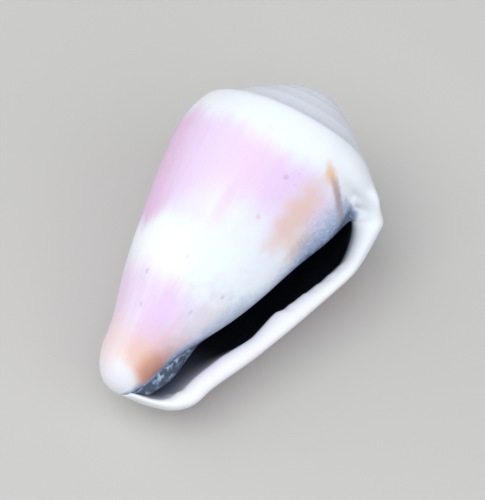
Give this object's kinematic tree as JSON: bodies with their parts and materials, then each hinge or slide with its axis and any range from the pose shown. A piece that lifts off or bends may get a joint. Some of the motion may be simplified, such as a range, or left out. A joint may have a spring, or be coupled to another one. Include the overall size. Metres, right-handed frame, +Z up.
{
  "type": "cone shell",
  "caption": "Beach-worn cone snail shell lying on its side, with a low spire, a long narrow mouth and a thick worn lip.",
  "frame": {"origin": "bottom centre of the bounding box, in the plane of the small worn flat that the shell rests on", "axes": "+Z up; +Y along the coiling axis toward the spire, which is raised by 12.5 degrees; the mouth is on the +X side"},
  "size_m": [0.024, 0.0384, 0.0228],
  "materials": {
    "shell": "smooth worn porcelain-like shell, lilac and white bands with orange-tan remains"
  },
  "bodies": {
    "root": {"shell": "shell"}
  },
  "joints": []
}
